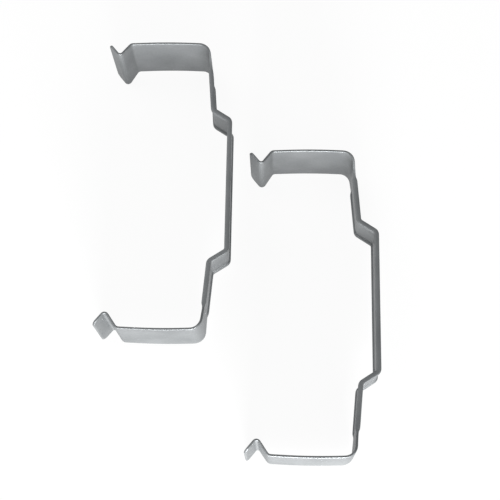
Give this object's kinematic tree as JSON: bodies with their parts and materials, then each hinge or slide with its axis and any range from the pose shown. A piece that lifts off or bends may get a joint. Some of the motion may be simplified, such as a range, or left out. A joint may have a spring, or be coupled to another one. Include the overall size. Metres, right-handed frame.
{
  "type": "cheek retractor",
  "caption": "Set of hand-held double-ended cheek retractors, each one bent steel strip with a stepped grip, a blade at each end and hooked flared lips.",
  "frame": {"origin": "on the resting plane, under the middle of the set's box", "axes": "+Y along the grips, +X from the open side of each retractor towards the back of its grip, +Z along the width of the strips"},
  "size_m": [0.1348, 0.2076, 0.034],
  "materials": {
    "steel": "satin"
  },
  "bodies": {
    "root": {"left_retractor": "steel", "right_retractor": "steel"}
  },
  "joints": []
}
